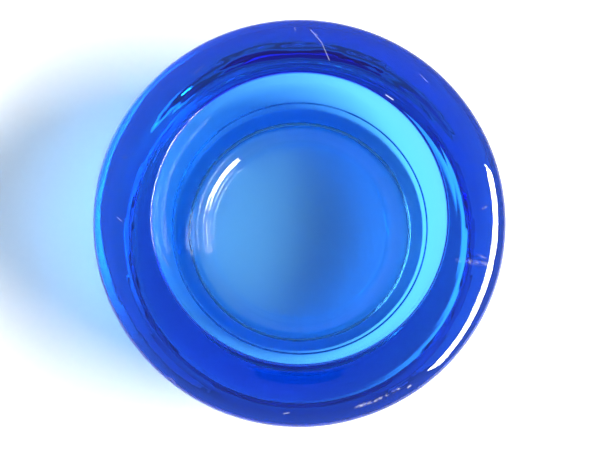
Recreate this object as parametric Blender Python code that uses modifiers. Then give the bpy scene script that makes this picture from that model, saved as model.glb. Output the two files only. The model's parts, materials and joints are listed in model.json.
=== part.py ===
"""Cup-shaped glass insulator, pressed in one piece.

A thick round cup that stands mouth up on a foot ring.  A castor, a leg or the
foot of a battery stand sits on the cup's floor, and the glass keeps it apart
from the ground.

Frame: metres, +Z up.  Origin on the cup's axis, in the plane of the foot ring.
"""
import math

import bpy
import numpy as np

# ---------------------------------------------------------------- dimensions
# All in millimetres; MM turns them into metres.
MM = 0.001

OUTER_R = 45.0                  # widest radius, at the rim's outer edge
HEIGHT = 29.0                   # foot ring to the crest of the lip
CUP_DEPTH = 20.6                # crest of the lip to the cup's floor
STEP_R = (19.4, 20.9, 22.2)     # radii of the three ring steps; the first bounds the floor
STEP_RISE = (0.9, 0.7, 0.5)     # heights of the three ring steps
STEP_RUN = 0.9                  # width of each step's sloping riser
LEDGE_RISE = 0.3                # slope of the ledge above the steps
WALL_FOOT_R = 23.4              # radius where the cup wall meets the ledge
WALL_FOOT_ROUND = 3.0           # rounding between ledge and wall
WALL_TOP_R = 31.6               # radius of the wall just under the lip
WALL_STAND = (0.2, 0.8, 0.9)    # how far the wall stands back from a cone, at three heights
LIP_R = 1.6                     # rounding of the lip's inner edge
RIM_FALL = 3.1                  # fall of the rim's crowned top towards the outer edge
RIM_POWER = 2.0                 # how late that fall sets in: 1 is a cone, 2 a round crown
EDGE_DROP = 3.4                 # how far below the crest the outer edge lies
EDGE_R = 2.6                    # rounding of the outer edge
SIDE_IN = 0.4                   # draft of the upright band below the edge
SIDE_Z = 19.0                   # height at which the side turns in
SIDE_ROUND = 10.0               # rounding of that turn
SIDE_R = (42.7, 39.8)           # radii of the side at two thirds and one third of that height
FOOT_R = 36.4                   # outer radius of the foot
FOOT_EDGE_R = 1.4               # rounding of the foot's outer edge
FOOT_WIDTH = 3.0                # flat width of the foot ring
RECESS = 1.6                    # height of the hollow under the base
RECESS_DOME = 0.2               # extra rise of that hollow at the centre
SEGMENTS = 68           # facets round the axis


def corner_arc(a, b, c, radius, arc_step):
    """Points that round the corner b between a and c with the given radius."""
    ax, az = a[0] - b[0], a[1] - b[1]
    cx, cz = c[0] - b[0], c[1] - b[1]
    la, lc = math.hypot(ax, az), math.hypot(cx, cz)
    ax, az, cx, cz = ax / la, az / la, cx / lc, cz / lc
    inner = math.acos(max(-1.0, min(1.0, ax * cx + az * cz)))
    if radius <= 0 or math.pi - inner < 0.01:
        return [b]
    cut = min(radius / math.tan(inner / 2), 0.49 * la, 0.49 * lc)
    radius = cut * math.tan(inner / 2)
    bx, bz = ax + cx, az + cz
    lb = math.hypot(bx, bz)
    reach = radius / math.sin(inner / 2)
    ox, oz = b[0] + bx / lb * reach, b[1] + bz / lb * reach
    p, q = (b[0] + ax * cut, b[1] + az * cut), (b[0] + cx * cut, b[1] + cz * cut)
    start = math.atan2(p[1] - oz, p[0] - ox)
    sweep = math.atan2(q[1] - oz, q[0] - ox) - start
    sweep = (sweep + math.pi) % (2 * math.pi) - math.pi
    count = max(2, int(math.ceil(abs(math.degrees(sweep)) / arc_step)))
    return [(ox + radius * math.cos(start + sweep * k / count),
             oz + radius * math.sin(start + sweep * k / count))
            for k in range(count + 1)]


def rounded(corners, arc_step):
    """A polyline of (r, z, rounding) corners, each rounded."""
    points = [corners[0][:2]]
    for a, b, c in zip(corners[:-2], corners[1:-1], corners[2:]):
        points += corner_arc(a[:2], b[:2], c[:2], b[2], arc_step)
    points.append(corners[-1][:2])
    return points


def smooth_curve(points, count):
    """A smooth curve through the points, with count steps between each two."""
    first = (2 * points[0][0] - points[1][0], 2 * points[0][1] - points[1][1])
    last = (2 * points[-1][0] - points[-2][0], 2 * points[-1][1] - points[-2][1])
    ends = [np.array(p, float) for p in [first] + list(points) + [last]]
    out = []
    for p0, p1, p2, p3 in zip(ends[:-3], ends[1:-2], ends[2:-1], ends[3:]):
        t0 = 0.0
        t1 = t0 + math.sqrt(np.linalg.norm(p1 - p0))
        t2 = t1 + math.sqrt(np.linalg.norm(p2 - p1))
        t3 = t2 + math.sqrt(np.linalg.norm(p3 - p2))
        for k in range(count):
            t = t1 + (t2 - t1) * k / count
            a1 = ((t1 - t) * p0 + (t - t0) * p1) / (t1 - t0)
            a2 = ((t2 - t) * p1 + (t - t1) * p2) / (t2 - t1)
            a3 = ((t3 - t) * p2 + (t - t2) * p3) / (t3 - t2)
            b1 = ((t2 - t) * a1 + (t - t0) * a2) / (t2 - t0)
            b2 = ((t3 - t) * a2 + (t - t1) * a3) / (t3 - t1)
            c = ((t2 - t) * b1 + (t - t1) * b2) / (t2 - t1)
            out.append((float(c[0]), float(c[1])))
    out.append(tuple(points[-1]))
    return out


def rim_top(r):
    """Height of the rim's crowned top at radius r."""
    return HEIGHT - RIM_FALL * ((r - 33.0) / 12.0) ** RIM_POWER


def cup_profile(arc_step, curve_steps):
    """(radius, height) in mm, from the floor's centre over the lip to the base's centre."""
    floor = HEIGHT - CUP_DEPTH
    z1 = floor + STEP_RISE[0]
    z2 = z1 + STEP_RISE[1]
    z3 = z2 + STEP_RISE[2]
    foot_z = z3 + LEDGE_RISE
    top_z = HEIGHT - 1.5
    run, climb = WALL_TOP_R - WALL_FOOT_R, top_z - foot_z
    low = rounded([
        (0.0, floor, 0),
        (STEP_R[0], floor, 0.5),
        (STEP_R[0] + STEP_RUN, z1, 0.4),
        (STEP_R[1], z1 + 0.1, 0.5),
        (STEP_R[1] + STEP_RUN, z2, 0.4),
        (STEP_R[2], z2 + 0.1, 0.5),
        (STEP_R[2] + STEP_RUN, z3, 0.4),
        (WALL_FOOT_R, foot_z, WALL_FOOT_ROUND),
        (WALL_FOOT_R + run * 0.15 + WALL_STAND[0] * 0.6, foot_z + climb * 0.15, 0),
    ], arc_step)[:-1]
    wall = [low[-1]] + [
        (WALL_FOOT_R + run * f + stand, foot_z + climb * f)
        for f, stand in zip((0.28, 0.5, 0.75), WALL_STAND)
    ] + [(WALL_TOP_R, top_z)]
    wall = smooth_curve(wall, curve_steps)
    side = smooth_curve([
        (OUTER_R - SIDE_IN, SIDE_Z),
        (SIDE_R[0], SIDE_Z * 0.66),
        (SIDE_R[1], SIDE_Z * 0.33),
        (FOOT_R + 0.3, FOOT_EDGE_R),
    ], curve_steps)
    crown = [(r, rim_top(r), 8.0) for r in (36.0, 37.5, 39.0, 40.5, 41.8, 43.0)]
    rim = rounded([
        (WALL_TOP_R, top_z, 0),
        (WALL_TOP_R + 0.05, HEIGHT, LIP_R),
        (34.0, HEIGHT, 3.0),
    ] + crown + [
        (OUTER_R, HEIGHT - EDGE_DROP, EDGE_R),
        (side[0][0], side[0][1], SIDE_ROUND),
        (side[1][0], side[1][1], 0),
    ], arc_step)[:-1]
    inner_foot = FOOT_R - FOOT_WIDTH
    base = rounded([
        (side[-2][0], side[-2][1], 0),
        (FOOT_R, 0.0, FOOT_EDGE_R),
        (inner_foot - FOOT_EDGE_R, 0.0, 0.4),
        (inner_foot - 2.6, RECESS, 1.2),
        (0.0, RECESS + RECESS_DOME, 0),
    ], arc_step)[1:]
    points = low + wall[1:-1] + rim + side[1:-1] + base
    out = [points[0]]
    for p in points[1:]:
        if math.hypot(p[0] - out[-1][0], p[1] - out[-1][1]) > 0.02:
            out.append(p)
    out[-1] = (0.0, out[-1][1])
    # draft and rounding cut the widest corner, so stretch to the stated width
    stretch = OUTER_R / max(r for r, z in out)
    return [(r * stretch, z) for r, z in out]



def clear_scene():
    for obj in list(bpy.data.objects):
        bpy.data.objects.remove(obj, do_unlink=True)


def glass_material():
    """Cobalt glass: clear, very smooth, deep blue."""
    mat = bpy.data.materials.new("cobalt_glass")
    mat.use_nodes = True
    bsdf = mat.node_tree.nodes["Principled BSDF"]
    bsdf.inputs["Base Color"].default_value = (0.02, 0.10, 0.72, 1.0)
    bsdf.inputs["Roughness"].default_value = 0.02
    bsdf.inputs["Metallic"].default_value = 0.0
    bsdf.inputs["IOR"].default_value = 1.52
    bsdf.inputs["Transmission Weight"].default_value = 0.9
    mat.diffuse_color = (0.02, 0.10, 0.72, 1.0)
    return mat


def build_cup(collection):
    """Turn the profile about the axis, as the mould and plunger shape it."""
    points = [(r * MM, 0.0, z * MM) for r, z in cup_profile(20.0, 3)]
    mesh = bpy.data.meshes.new("glass_cup")
    mesh.from_pydata(points, [(k, k + 1) for k in range(len(points) - 1)], [])
    mesh.update()
    cup = bpy.data.objects.new("glass_cup", mesh)
    collection.objects.link(cup)
    turn = cup.modifiers.new("turn", "SCREW")
    turn.axis = "Z"
    turn.angle = 2 * math.pi
    turn.screw_offset = 0.0
    turn.steps = SEGMENTS
    turn.render_steps = SEGMENTS
    turn.use_merge_vertices = True
    turn.merge_threshold = 0.00001
    turn.use_smooth_shade = True
    mesh.materials.append(glass_material())
    return cup


def main():
    clear_scene()
    collection = bpy.data.collections.new("cup_glass_insulator")
    bpy.context.scene.collection.children.link(collection)
    build_cup(collection)


main()
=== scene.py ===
"""Looks for the cobalt glass cup insulator: the fine pressed-glass surface, its
material, a pale sheet to stand on and one large soft window light."""
import json
import math

import bpy
import numpy as np
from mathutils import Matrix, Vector, noise

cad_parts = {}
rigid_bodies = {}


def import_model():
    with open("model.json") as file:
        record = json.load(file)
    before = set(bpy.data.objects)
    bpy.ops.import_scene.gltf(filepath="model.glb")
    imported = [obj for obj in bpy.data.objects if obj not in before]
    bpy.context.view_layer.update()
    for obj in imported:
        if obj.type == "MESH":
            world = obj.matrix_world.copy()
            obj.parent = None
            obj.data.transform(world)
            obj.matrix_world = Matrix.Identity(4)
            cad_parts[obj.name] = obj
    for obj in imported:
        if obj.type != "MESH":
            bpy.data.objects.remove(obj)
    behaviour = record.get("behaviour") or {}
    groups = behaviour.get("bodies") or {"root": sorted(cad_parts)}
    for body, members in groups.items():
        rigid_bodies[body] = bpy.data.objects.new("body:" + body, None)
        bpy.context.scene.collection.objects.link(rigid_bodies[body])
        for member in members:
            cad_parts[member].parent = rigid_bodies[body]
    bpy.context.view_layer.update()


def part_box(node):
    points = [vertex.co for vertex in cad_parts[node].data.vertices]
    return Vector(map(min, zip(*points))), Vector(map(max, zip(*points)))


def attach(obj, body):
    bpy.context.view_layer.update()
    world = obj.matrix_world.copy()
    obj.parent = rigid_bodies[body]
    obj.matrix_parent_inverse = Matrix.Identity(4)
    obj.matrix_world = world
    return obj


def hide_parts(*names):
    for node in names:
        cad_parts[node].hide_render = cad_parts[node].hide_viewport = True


for old in list(bpy.data.objects):
    bpy.data.objects.remove(old, do_unlink=True)

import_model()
MM = 0.001

# ------------------------------------------------------------- dimensions, mm
# The same design values as the CAD; the fine surface follows them closely.
OUTER_R = 45.0                  # widest radius, at the rim's outer edge
HEIGHT = 29.0                   # foot ring to the crest of the lip
CUP_DEPTH = 20.6                # crest of the lip to the cup's floor
STEP_R = (19.4, 20.9, 22.2)     # radii of the three ring steps; the first bounds the floor
STEP_RISE = (0.9, 0.7, 0.5)     # heights of the three ring steps
STEP_RUN = 0.9                  # width of each step's sloping riser
LEDGE_RISE = 0.3                # slope of the ledge above the steps
WALL_FOOT_R = 23.4              # radius where the cup wall meets the ledge
WALL_FOOT_ROUND = 3.0           # rounding between ledge and wall
WALL_TOP_R = 31.6               # radius of the wall just under the lip
WALL_STAND = (0.2, 0.8, 0.9)    # how far the wall stands back from a cone, at three heights
LIP_R = 1.6                     # rounding of the lip's inner edge
RIM_FALL = 3.1                  # fall of the rim's crowned top towards the outer edge
RIM_POWER = 2.0                 # how late that fall sets in: 1 is a cone, 2 a round crown
EDGE_DROP = 3.4                 # how far below the crest the outer edge lies
EDGE_R = 2.6                    # rounding of the outer edge
SIDE_IN = 0.4                   # draft of the upright band below the edge
SIDE_Z = 19.0                   # height at which the side turns in
SIDE_ROUND = 10.0               # rounding of that turn
SIDE_R = (42.7, 39.8)           # radii of the side at two thirds and one third of that height
FOOT_R = 36.4                   # outer radius of the foot
FOOT_EDGE_R = 1.4               # rounding of the foot's outer edge
FOOT_WIDTH = 3.0                # flat width of the foot ring
RECESS = 1.6                    # height of the hollow under the base
RECESS_DOME = 0.2               # extra rise of that hollow at the centre


def corner_arc(a, b, c, radius, arc_step):
    """Points that round the corner b between a and c with the given radius."""
    ax, az = a[0] - b[0], a[1] - b[1]
    cx, cz = c[0] - b[0], c[1] - b[1]
    la, lc = math.hypot(ax, az), math.hypot(cx, cz)
    ax, az, cx, cz = ax / la, az / la, cx / lc, cz / lc
    inner = math.acos(max(-1.0, min(1.0, ax * cx + az * cz)))
    if radius <= 0 or math.pi - inner < 0.01:
        return [b]
    cut = min(radius / math.tan(inner / 2), 0.49 * la, 0.49 * lc)
    radius = cut * math.tan(inner / 2)
    bx, bz = ax + cx, az + cz
    lb = math.hypot(bx, bz)
    reach = radius / math.sin(inner / 2)
    ox, oz = b[0] + bx / lb * reach, b[1] + bz / lb * reach
    p, q = (b[0] + ax * cut, b[1] + az * cut), (b[0] + cx * cut, b[1] + cz * cut)
    start = math.atan2(p[1] - oz, p[0] - ox)
    sweep = math.atan2(q[1] - oz, q[0] - ox) - start
    sweep = (sweep + math.pi) % (2 * math.pi) - math.pi
    count = max(2, int(math.ceil(abs(math.degrees(sweep)) / arc_step)))
    return [(ox + radius * math.cos(start + sweep * k / count),
             oz + radius * math.sin(start + sweep * k / count))
            for k in range(count + 1)]


def rounded(corners, arc_step):
    """A polyline of (r, z, rounding) corners, each rounded."""
    points = [corners[0][:2]]
    for a, b, c in zip(corners[:-2], corners[1:-1], corners[2:]):
        points += corner_arc(a[:2], b[:2], c[:2], b[2], arc_step)
    points.append(corners[-1][:2])
    return points


def smooth_curve(points, count):
    """A smooth curve through the points, with count steps between each two."""
    first = (2 * points[0][0] - points[1][0], 2 * points[0][1] - points[1][1])
    last = (2 * points[-1][0] - points[-2][0], 2 * points[-1][1] - points[-2][1])
    ends = [np.array(p, float) for p in [first] + list(points) + [last]]
    out = []
    for p0, p1, p2, p3 in zip(ends[:-3], ends[1:-2], ends[2:-1], ends[3:]):
        t0 = 0.0
        t1 = t0 + math.sqrt(np.linalg.norm(p1 - p0))
        t2 = t1 + math.sqrt(np.linalg.norm(p2 - p1))
        t3 = t2 + math.sqrt(np.linalg.norm(p3 - p2))
        for k in range(count):
            t = t1 + (t2 - t1) * k / count
            a1 = ((t1 - t) * p0 + (t - t0) * p1) / (t1 - t0)
            a2 = ((t2 - t) * p1 + (t - t1) * p2) / (t2 - t1)
            a3 = ((t3 - t) * p2 + (t - t2) * p3) / (t3 - t2)
            b1 = ((t2 - t) * a1 + (t - t0) * a2) / (t2 - t0)
            b2 = ((t3 - t) * a2 + (t - t1) * a3) / (t3 - t1)
            c = ((t2 - t) * b1 + (t - t1) * b2) / (t2 - t1)
            out.append((float(c[0]), float(c[1])))
    out.append(tuple(points[-1]))
    return out


def rim_top(r):
    """Height of the rim's crowned top at radius r."""
    return HEIGHT - RIM_FALL * ((r - 33.0) / 12.0) ** RIM_POWER


def cup_profile(arc_step, curve_steps):
    """(radius, height) in mm, from the floor's centre over the lip to the base's centre."""
    floor = HEIGHT - CUP_DEPTH
    z1 = floor + STEP_RISE[0]
    z2 = z1 + STEP_RISE[1]
    z3 = z2 + STEP_RISE[2]
    foot_z = z3 + LEDGE_RISE
    top_z = HEIGHT - 1.5
    run, climb = WALL_TOP_R - WALL_FOOT_R, top_z - foot_z
    low = rounded([
        (0.0, floor, 0),
        (STEP_R[0], floor, 0.5),
        (STEP_R[0] + STEP_RUN, z1, 0.4),
        (STEP_R[1], z1 + 0.1, 0.5),
        (STEP_R[1] + STEP_RUN, z2, 0.4),
        (STEP_R[2], z2 + 0.1, 0.5),
        (STEP_R[2] + STEP_RUN, z3, 0.4),
        (WALL_FOOT_R, foot_z, WALL_FOOT_ROUND),
        (WALL_FOOT_R + run * 0.15 + WALL_STAND[0] * 0.6, foot_z + climb * 0.15, 0),
    ], arc_step)[:-1]
    wall = [low[-1]] + [
        (WALL_FOOT_R + run * f + stand, foot_z + climb * f)
        for f, stand in zip((0.28, 0.5, 0.75), WALL_STAND)
    ] + [(WALL_TOP_R, top_z)]
    wall = smooth_curve(wall, curve_steps)
    side = smooth_curve([
        (OUTER_R - SIDE_IN, SIDE_Z),
        (SIDE_R[0], SIDE_Z * 0.66),
        (SIDE_R[1], SIDE_Z * 0.33),
        (FOOT_R + 0.3, FOOT_EDGE_R),
    ], curve_steps)
    crown = [(r, rim_top(r), 8.0) for r in (36.0, 37.5, 39.0, 40.5, 41.8, 43.0)]
    rim = rounded([
        (WALL_TOP_R, top_z, 0),
        (WALL_TOP_R + 0.05, HEIGHT, LIP_R),
        (34.0, HEIGHT, 3.0),
    ] + crown + [
        (OUTER_R, HEIGHT - EDGE_DROP, EDGE_R),
        (side[0][0], side[0][1], SIDE_ROUND),
        (side[1][0], side[1][1], 0),
    ], arc_step)[:-1]
    inner_foot = FOOT_R - FOOT_WIDTH
    base = rounded([
        (side[-2][0], side[-2][1], 0),
        (FOOT_R, 0.0, FOOT_EDGE_R),
        (inner_foot - FOOT_EDGE_R, 0.0, 0.4),
        (inner_foot - 2.6, RECESS, 1.2),
        (0.0, RECESS + RECESS_DOME, 0),
    ], arc_step)[1:]
    points = low + wall[1:-1] + rim + side[1:-1] + base
    out = [points[0]]
    for p in points[1:]:
        if math.hypot(p[0] - out[-1][0], p[1] - out[-1][1]) > 0.02:
            out.append(p)
    out[-1] = (0.0, out[-1][1])
    # draft and rounding cut the widest corner, so stretch to the stated width
    stretch = OUTER_R / max(r for r, z in out)
    return [(r * stretch, z) for r, z in out]


def resample(points):
    """The same line with no long segments: fine on the curves, coarser on the
    level floor and base."""
    out = [points[0]]
    for p in points[1:]:
        q = out[-1]
        longest = 1.6 if abs(p[1] - q[1]) < 0.02 * abs(p[0] - q[0]) else 0.8
        n = max(1, int(math.ceil(math.hypot(p[0] - q[0], p[1] - q[1]) / longest)))
        for k in range(1, n + 1):
            out.append((q[0] + (p[0] - q[0]) * k / n, q[1] + (p[1] - q[1]) * k / n))
    return out


# ---------------------------------------------------------- the glass surface
SEGMENTS = 480


def pressed_surface():
    """The turned cup as one closed mesh, with the soft unevenness of hand-pressed
    glass: slow waves from uneven cooling, two faint mould seams, and one small
    bruise on the outer edge."""
    line = resample(cup_profile(6.0, 8))
    ring = np.array(line[1:-1])
    # outward normal of the profile (it runs from the floor over the lip to the base)
    along = np.gradient(ring, axis=0)
    length = np.hypot(along[:, 0], along[:, 1])
    nr, nz = -along[:, 1] / length, along[:, 0] / length
    rows = len(ring)
    verts = [(0.0, 0.0, line[0][1] * MM)]
    crest_row = int(np.argmax(ring[:, 1]))
    for i in range(rows):
        r, z = ring[i]
        outer = i > crest_row
        # the plunger leaves the inside truer than the mould leaves the outside
        slow = 0.030 if outer else 0.014
        fine = 0.006 if outer else 0.003
        if z < 0.05:
            slow = fine = 0.0                      # ground foot ring stays flat
        fade = min(1.0, r / 8.0)
        for k in range(SEGMENTS):
            a = 2 * math.pi * k / SEGMENTS
            x, y = r * math.cos(a), r * math.sin(a)
            p = Vector((x, y, z * 1.4))
            d = slow * noise.noise(p / 9.0 + Vector((3.1, 0, 7.7 if outer else 0)))
            d += fine * noise.noise(p / 2.6 + Vector((0, 5.3, 0)))
            d *= fade
            if outer and z > 0.05:
                # two mould seams, opposite each other
                off = math.sin(a - math.radians(62)) * r
                d += 0.035 * math.exp(-(off / 0.35) ** 2) * min(1.0, (z - 0.05) / 2)
                # a small bruise on the edge
                bx, by = 44.6 * math.cos(math.radians(232)), 44.6 * math.sin(math.radians(232))
                q = math.hypot(x - bx, y - by) + abs(z - (HEIGHT - EDGE_DROP)) * 0.8
                d -= 0.34 * math.exp(-(q / 0.75) ** 2)
            rr = r + nr[i] * d
            zz = z + nz[i] * d
            verts.append((rr * math.cos(a) * MM, rr * math.sin(a) * MM, max(zz, 0.0) * MM))
    verts.append((0.0, 0.0, line[-1][1] * MM))
    faces = [(0, 1 + k, 1 + (k + 1) % SEGMENTS) for k in range(SEGMENTS)]
    for i in range(rows - 1):
        b, c = 1 + i * SEGMENTS, 1 + (i + 1) * SEGMENTS
        for k in range(SEGMENTS):
            n = (k + 1) % SEGMENTS
            faces.append((b + k, c + k, c + n, b + n))
    last, end = 1 + (rows - 1) * SEGMENTS, len(verts) - 1
    faces += [(last + k, end, last + (k + 1) % SEGMENTS) for k in range(SEGMENTS)]
    mesh = bpy.data.meshes.new("cobalt_cup")
    mesh.from_pydata(verts, [], faces)
    mesh.update()
    mesh.shade_smooth()
    # keep inside the CAD's box
    co = np.zeros(len(mesh.vertices) * 3, np.float32)
    mesh.vertices.foreach_get("co", co)
    co = co.reshape(-1, 3)
    lo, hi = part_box("glass_cup")
    fit = min(1.0, *(edge / float(reach) for edge, reach in (
        (hi.x, co[:, 0].max()), (lo.x, co[:, 0].min()),
        (hi.y, co[:, 1].max()), (lo.y, co[:, 1].min())))) - 1e-6
    co[:, :2] *= fit
    top = float(co[:, 2].max())
    if top > hi.z:
        co[:, 2] *= hi.z / top
    mesh.vertices.foreach_set("co", co.ravel())
    mesh.update()
    cup = bpy.data.objects.new("cobalt_cup", mesh)
    bpy.context.scene.collection.objects.link(cup)
    return cup


# ------------------------------------------------------------------ materials
def link(tree, a, b):
    tree.links.new(a, b)


def node(tree, kind, **values):
    n = tree.nodes.new(kind)
    for key, value in values.items():
        setattr(n, key, value)
    return n


def math_node(tree, op, a, b=None, clamp=False):
    n = node(tree, "ShaderNodeMath", operation=op, use_clamp=clamp)
    for i, v in enumerate((a, b)):
        if v is None:
            continue
        if hasattr(v, "links"):
            link(tree, v, n.inputs[i])
        else:
            n.inputs[i].default_value = v
    return n.outputs[0]


# absorption of the cobalt glass per metre, red, green, blue
ABSORB = (140.0, 50.0, 6.0)


# marks on the rim seen from above, hair scratches and pale grainy patches, mm: line from (x, y) to (x, y), half
# width, strength, ragged
RIM_MARKS = [
    (2.4, 42.0, 4.8, 38.9, 0.10, 0.50, False), (4.8, 38.9, 6.5, 34.7, 0.10, 0.42, False),
    (-1.1, 42.6, -0.9, 41.6, 0.09, 0.40, False), (3.4, 41.0, 3.9, 40.7, 0.10, 0.5, False),
    (-39.4, 0.0, -38.4, -0.9, 0.14, 0.65, False), (-38.6, 13.4, -37.4, 13.1, 0.09, 0.35, False),
    # the ragged lines are pale, rougher grainy patches along the outer edge, east and south
    (18.8, 26.9, 20.4, 25.8, 0.16, 0.85, False), (34.0, -9.4, 40.6, -10.2, 0.75, 0.16, True),
    (38.6, -8.2, 41.2, -9.4, 0.35, 0.14, True), (39.6, 1.9, 40.4, 2.4, 0.35, 0.22, True),
    (11.6, -41.0, 16.5, -39.3, 0.42, 0.36, True), (16.5, -39.3, 21.2, -37.0, 0.42, 0.40, True),
    (23.1, -36.6, 23.7, -36.2, 0.30, 0.55, True), (-3.4, -42.2, -2.2, -42.0, 0.2, 0.35, True),
    (-29.9, -7.4, -28.6, -9.9, 0.08, 0.25, False), (26.4, 31.9, 28.0, 30.1, 0.08, 0.3, False),
    (-21.3, 33.6, -22.9, 31.8, 0.08, 0.3, False),
]


def glass_material():
    """Cobalt glass: clear and very smooth, coloured by depth, with faint smears,
    hair scratches, specks of dust and a ground foot ring."""
    mat = bpy.data.materials.new("cobalt_glass")
    mat.use_nodes = True
    t = mat.node_tree
    bsdf = t.nodes["Principled BSDF"]
    out = t.nodes["Material Output"]
    bsdf.inputs["IOR"].default_value = 1.52
    bsdf.inputs["Metallic"].default_value = 0.0
    coord = node(t, "ShaderNodeTexCoord").outputs["Object"]
    split = node(t, "ShaderNodeSeparateXYZ")
    link(t, coord, split.inputs[0])
    x, y, z = split.outputs

    # marks on the rim: hair scratches and pale grainy patches along the outer edge, each a short line
    flat = node(t, "ShaderNodeCombineXYZ")
    link(t, x, flat.inputs[0])
    link(t, y, flat.inputs[1])
    ragged = node(t, "ShaderNodeTexNoise")
    ragged.inputs["Scale"].default_value = 1100.0
    ragged.inputs["Detail"].default_value = 4.0
    link(t, coord, ragged.inputs["Vector"])
    marks = None
    for ax, ay, bx, by, width, strength, soft in RIM_MARKS:
        a, b = Vector((ax, ay, 0)) * MM, Vector((bx, by, 0)) * MM
        run = b - a
        away = node(t, "ShaderNodeVectorMath", operation="SUBTRACT")
        link(t, flat.outputs[0], away.inputs[0])
        away.inputs[1].default_value = a
        dot = node(t, "ShaderNodeVectorMath", operation="DOT_PRODUCT")
        link(t, away.outputs[0], dot.inputs[0])
        dot.inputs[1].default_value = run / run.length_squared
        part = math_node(t, "ADD", dot.outputs["Value"], 0.0, clamp=True)
        foot = node(t, "ShaderNodeVectorMath", operation="SCALE")
        foot.inputs[0].default_value = run
        link(t, part, foot.inputs["Scale"])
        off = node(t, "ShaderNodeVectorMath", operation="DISTANCE")
        link(t, away.outputs[0], off.inputs[0])
        link(t, foot.outputs[0], off.inputs[1])
        fall = node(t, "ShaderNodeMapRange", clamp=True, interpolation_type="SMOOTHSTEP")
        link(t, off.outputs["Value"], fall.inputs[0])
        fall.inputs[1].default_value, fall.inputs[2].default_value = width * MM, 0.0
        fall.inputs[3].default_value, fall.inputs[4].default_value = 0.0, strength
        mark = fall.outputs[0]
        if soft:
            grainy = node(t, "ShaderNodeMapRange", clamp=True)
            link(t, ragged.outputs["Fac"], grainy.inputs[0])
            grainy.inputs[1].default_value, grainy.inputs[2].default_value = 0.42, 0.62
            mark = math_node(t, "MULTIPLY", mark, grainy.outputs[0])
        marks = mark if marks is None else math_node(t, "MAXIMUM", marks, mark)
    upper = math_node(t, "GREATER_THAN", z, (HEIGHT - 7.0) * MM)
    rim_mark = math_node(t, "MULTIPLY", marks, upper)

    # dust: few, very small specks
    dust = node(t, "ShaderNodeTexVoronoi", feature="F1")
    dust.inputs["Scale"].default_value = 150.0
    link(t, coord, dust.inputs["Vector"])
    near = math_node(t, "LESS_THAN", dust.outputs["Distance"], 0.017)
    pick = node(t, "ShaderNodeSeparateColor")
    link(t, dust.outputs["Color"], pick.inputs[0])
    rare = math_node(t, "GREATER_THAN", pick.outputs[0], 0.80)
    speck = math_node(t, "MULTIPLY", math_node(t, "MULTIPLY", near, rare), 0.8)

    # the ground foot ring
    low = math_node(t, "LESS_THAN", z, 0.00004)
    grind = node(t, "ShaderNodeTexNoise")
    grind.inputs["Scale"].default_value = 900.0
    grind.inputs["Detail"].default_value = 6.0
    link(t, coord, grind.inputs["Vector"])

    # smears: patches where the surface is a touch less clear
    smear = node(t, "ShaderNodeTexNoise")
    smear.inputs["Scale"].default_value = 45.0
    smear.inputs["Detail"].default_value = 5.0
    smear.inputs["Roughness"].default_value = 0.6
    link(t, coord, smear.inputs["Vector"])
    haze = node(t, "ShaderNodeMapRange", clamp=True)
    link(t, smear.outputs["Fac"], haze.inputs[0])
    haze.inputs[1].default_value, haze.inputs[2].default_value = 0.45, 0.75
    haze.inputs[3].default_value, haze.inputs[4].default_value = 0.0, 0.035

    marks = math_node(t, "MAXIMUM", rim_mark, speck)
    rough = math_node(t, "ADD", haze.outputs[0], math_node(t, "MULTIPLY", marks, 0.35))
    rough = math_node(t, "ADD", rough, math_node(t, "MULTIPLY", low, 0.30), clamp=True)
    link(t, rough, bsdf.inputs["Roughness"])
    clear = math_node(t, "SUBTRACT", 1.0, math_node(t, "MULTIPLY", marks, 0.7), clamp=True)
    link(t, clear, bsdf.inputs["Transmission Weight"])
    tint = node(t, "ShaderNodeMix", data_type="RGBA")
    link(t, marks, tint.inputs[0])
    tint.inputs[6].default_value = (1.0, 1.0, 1.0, 1)
    tint.inputs[7].default_value = (0.75, 0.80, 0.92, 1)
    link(t, tint.outputs[2], bsdf.inputs["Base Color"])

    # chill ripples on the surface, much finer than the modelled waves
    ripple = node(t, "ShaderNodeTexNoise")
    ripple.inputs["Scale"].default_value = 260.0
    ripple.inputs["Detail"].default_value = 2.0
    link(t, coord, ripple.inputs["Vector"])
    height = math_node(t, "ADD", math_node(t, "MULTIPLY", ripple.outputs["Fac"], 0.25),
                       math_node(t, "MULTIPLY", math_node(t, "MULTIPLY", grind.outputs["Fac"], low), 2.0))
    bump = node(t, "ShaderNodeBump")
    bump.inputs["Strength"].default_value = 0.03
    bump.inputs["Distance"].default_value = 0.0006
    link(t, height, bump.inputs["Height"])
    link(t, bump.outputs[0], bsdf.inputs["Normal"])

    depth = node(t, "ShaderNodeVolumeAbsorption")
    most = max(ABSORB) * 1.02
    depth.inputs["Color"].default_value = tuple(1 - a / most for a in ABSORB) + (1,)
    depth.inputs["Density"].default_value = most
    link(t, depth.outputs[0], out.inputs["Volume"])
    return mat


def sheet_material():
    """A pale matt sheet with a barely visible tooth."""
    mat = bpy.data.materials.new("pale_sheet")
    mat.use_nodes = True
    t = mat.node_tree
    bsdf = t.nodes["Principled BSDF"]
    bsdf.inputs["Roughness"].default_value = 0.9
    tooth = node(t, "ShaderNodeTexNoise")
    tooth.inputs["Scale"].default_value = 700.0
    tooth.inputs["Detail"].default_value = 4.0
    link(t, node(t, "ShaderNodeTexCoord").outputs["Object"], tooth.inputs["Vector"])
    tone = node(t, "ShaderNodeMapRange")
    link(t, tooth.outputs["Fac"], tone.inputs[0])
    tone.inputs[3].default_value, tone.inputs[4].default_value = 0.905, 0.935
    rgb = node(t, "ShaderNodeCombineColor")
    for i in range(3):
        link(t, tone.outputs[0], rgb.inputs[i])
    link(t, rgb.outputs[0], bsdf.inputs["Base Color"])
    bump = node(t, "ShaderNodeBump")
    bump.inputs["Strength"].default_value = 0.15
    bump.inputs["Distance"].default_value = 0.0001
    link(t, tooth.outputs["Fac"], bump.inputs["Height"])
    link(t, bump.outputs[0], bsdf.inputs["Normal"])
    return mat


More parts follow.
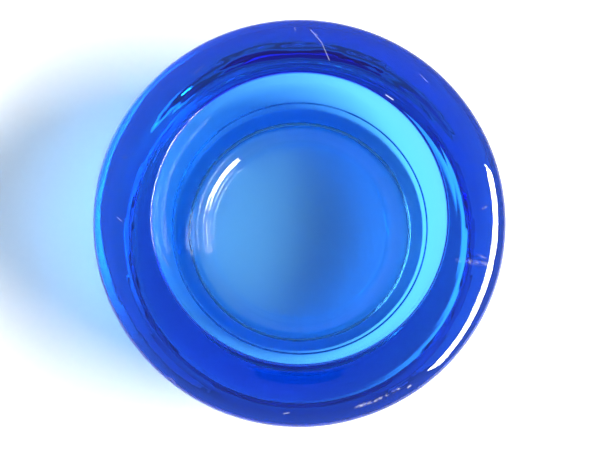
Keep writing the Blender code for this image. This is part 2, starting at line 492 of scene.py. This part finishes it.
cup = pressed_surface()
cup.data.materials.append(glass_material())
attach(cup, "root")
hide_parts("glass_cup")

# ---------------------------------------------------------------------- stage
bpy.ops.mesh.primitive_plane_add(size=6.0, location=(0, 0, -0.0003))
sheet = bpy.context.object
sheet.name = "sheet"
sheet.data.materials.append(sheet_material())

# sky light: brightness by height above the horizon
SKY = ((0.0, 0.80), (0.35, 0.75), (0.70, 0.52), (1.0, 0.22))
SKY_BLUE = 0.40
SKY_LEAN = (0.00, 0.00)
world = bpy.data.worlds.new("soft_room")
bpy.context.scene.world = world
world.use_nodes = True
wt = world.node_tree
sky_split = node(wt, "ShaderNodeSeparateXYZ")
link(wt, node(wt, "ShaderNodeTexCoord").outputs["Generated"], sky_split.inputs[0])
ramp = node(wt, "ShaderNodeValToRGB")
link(wt, sky_split.outputs["Z"], ramp.inputs[0])
while len(ramp.color_ramp.elements) < len(SKY):
    ramp.color_ramp.elements.new(0.5)
for element, (height, level) in zip(ramp.color_ramp.elements, SKY):
    element.position = height
for element, (height, level) in zip(ramp.color_ramp.elements, SKY):
    element.color = (level * (1 - 0.25 * SKY_BLUE), level * (1 - 0.10 * SKY_BLUE), level, 1)
link(wt, ramp.outputs[0], wt.nodes["Background"].inputs[0])
lean = math_node(wt, "ADD", math_node(wt, "MULTIPLY", sky_split.outputs["X"], SKY_LEAN[0]),
                 math_node(wt, "MULTIPLY", sky_split.outputs["Y"], SKY_LEAN[1]))
lean = math_node(wt, "MAXIMUM", math_node(wt, "ADD", lean, 1.0), 0.0)
link(wt, lean, wt.nodes["Background"].inputs[1])

# the window: a large soft light low on the right, even across; WINDOW_ENDS would brighten its two ends, but it
# is zero
WINDOW_AZ, WINDOW_EL, WINDOW_DIST = -8.4, 36.0, 0.60
WINDOW_W, WINDOW_H, WINDOW_POWER = 0.63, 0.13, 4.30
WINDOW_ENDS = 0.0
lamp = bpy.data.lights.new("window", "AREA")
lamp.shape = "RECTANGLE"
lamp.size, lamp.size_y = WINDOW_W, WINDOW_H
lamp.energy = WINDOW_POWER * WINDOW_W * WINDOW_H * 40
lamp.color = (1.0, 0.99, 0.97)
if WINDOW_ENDS:
    lamp.use_nodes = True
    lt = lamp.node_tree
    uv = node(lt, "ShaderNodeSeparateXYZ")
    link(lt, node(lt, "ShaderNodeNewGeometry").outputs["Parametric"], uv.inputs[0])
    far = math_node(lt, "ABSOLUTE", math_node(lt, "SUBTRACT", uv.outputs[0], 0.5))
    gain = math_node(lt, "ADD", 1.0 - WINDOW_ENDS * 0.5,
                     math_node(lt, "MULTIPLY", math_node(lt, "POWER", math_node(lt, "MULTIPLY", far, 2.0), 2.0),
                               WINDOW_ENDS * 1.5))
    link(lt, gain, lt.nodes["Emission"].inputs["Strength"])
az, el = math.radians(WINDOW_AZ), math.radians(WINDOW_EL)
window = bpy.data.objects.new("window", lamp)
window.location = (WINDOW_DIST * math.cos(el) * math.cos(az),
                   WINDOW_DIST * math.cos(el) * math.sin(az),
                   WINDOW_DIST * math.sin(el) + 0.02)
window.rotation_euler = (Vector((0, 0, 0.02)) - window.location).to_track_quat("-Z", "Y").to_euler()
bpy.context.scene.collection.objects.link(window)

# --------------------------------------------------------------------- camera
CAM_DIST, CAM_TILT, CAM_AZ, CAM_ZOOM = 0.400, 9.20, 0.00, 1.0150
SHIFT_X, SHIFT_Y = 0.40, -5.40          # pixels of the 600 wide frame
tilt, turn = math.radians(CAM_TILT), math.radians(CAM_AZ)
cam = bpy.data.cameras.new("camera")
cam.sensor_width = 36.0
cam.lens = 203.6 * 36 * CAM_DIST / (600 * 45 * MM) * CAM_ZOOM
cam.shift_x, cam.shift_y = SHIFT_X / 600, SHIFT_Y / 600
camera = bpy.data.objects.new("camera", cam)
pivot = Vector((0, 0, (HEIGHT - 4) * MM))
camera.location = pivot + CAM_DIST * Vector(
    (math.sin(turn) * math.sin(tilt), -math.cos(turn) * math.sin(tilt), math.cos(tilt)))
camera.rotation_euler = (tilt, 0, turn)
bpy.context.scene.collection.objects.link(camera)
bpy.context.scene.camera = camera

# a dark card at the camera, seen only as a reflection in the glass
CARD = (0.000, 0.000, 0.040, 0.060)        # x, y offset and half sizes
bpy.ops.mesh.primitive_circle_add(vertices=48, radius=1, fill_type="NGON")
card = bpy.context.object
card.name = "dark_card"
card.location = camera.location + Vector((CARD[0], CARD[1], 0.012))
card.rotation_euler = (tilt, 0, 0)
card.scale = (CARD[2], CARD[3], 1)
black = bpy.data.materials.new("dark_card")
black.use_nodes = True
black.node_tree.nodes["Principled BSDF"].inputs["Base Color"].default_value = (0, 0, 0, 1)
black.node_tree.nodes["Principled BSDF"].inputs["Specular IOR Level"].default_value = 0.0
card.data.materials.append(black)
card.visible_camera = card.visible_diffuse = card.visible_transmission = False
card.visible_shadow = card.visible_volume_scatter = False

scene = bpy.context.scene
scene.view_settings.view_transform = "Standard"
scene.view_settings.look = "None"
scene.cycles.max_bounces = 24
scene.cycles.transmission_bounces = 20
scene.cycles.glossy_bounces = 8
scene.cycles.use_denoising = True
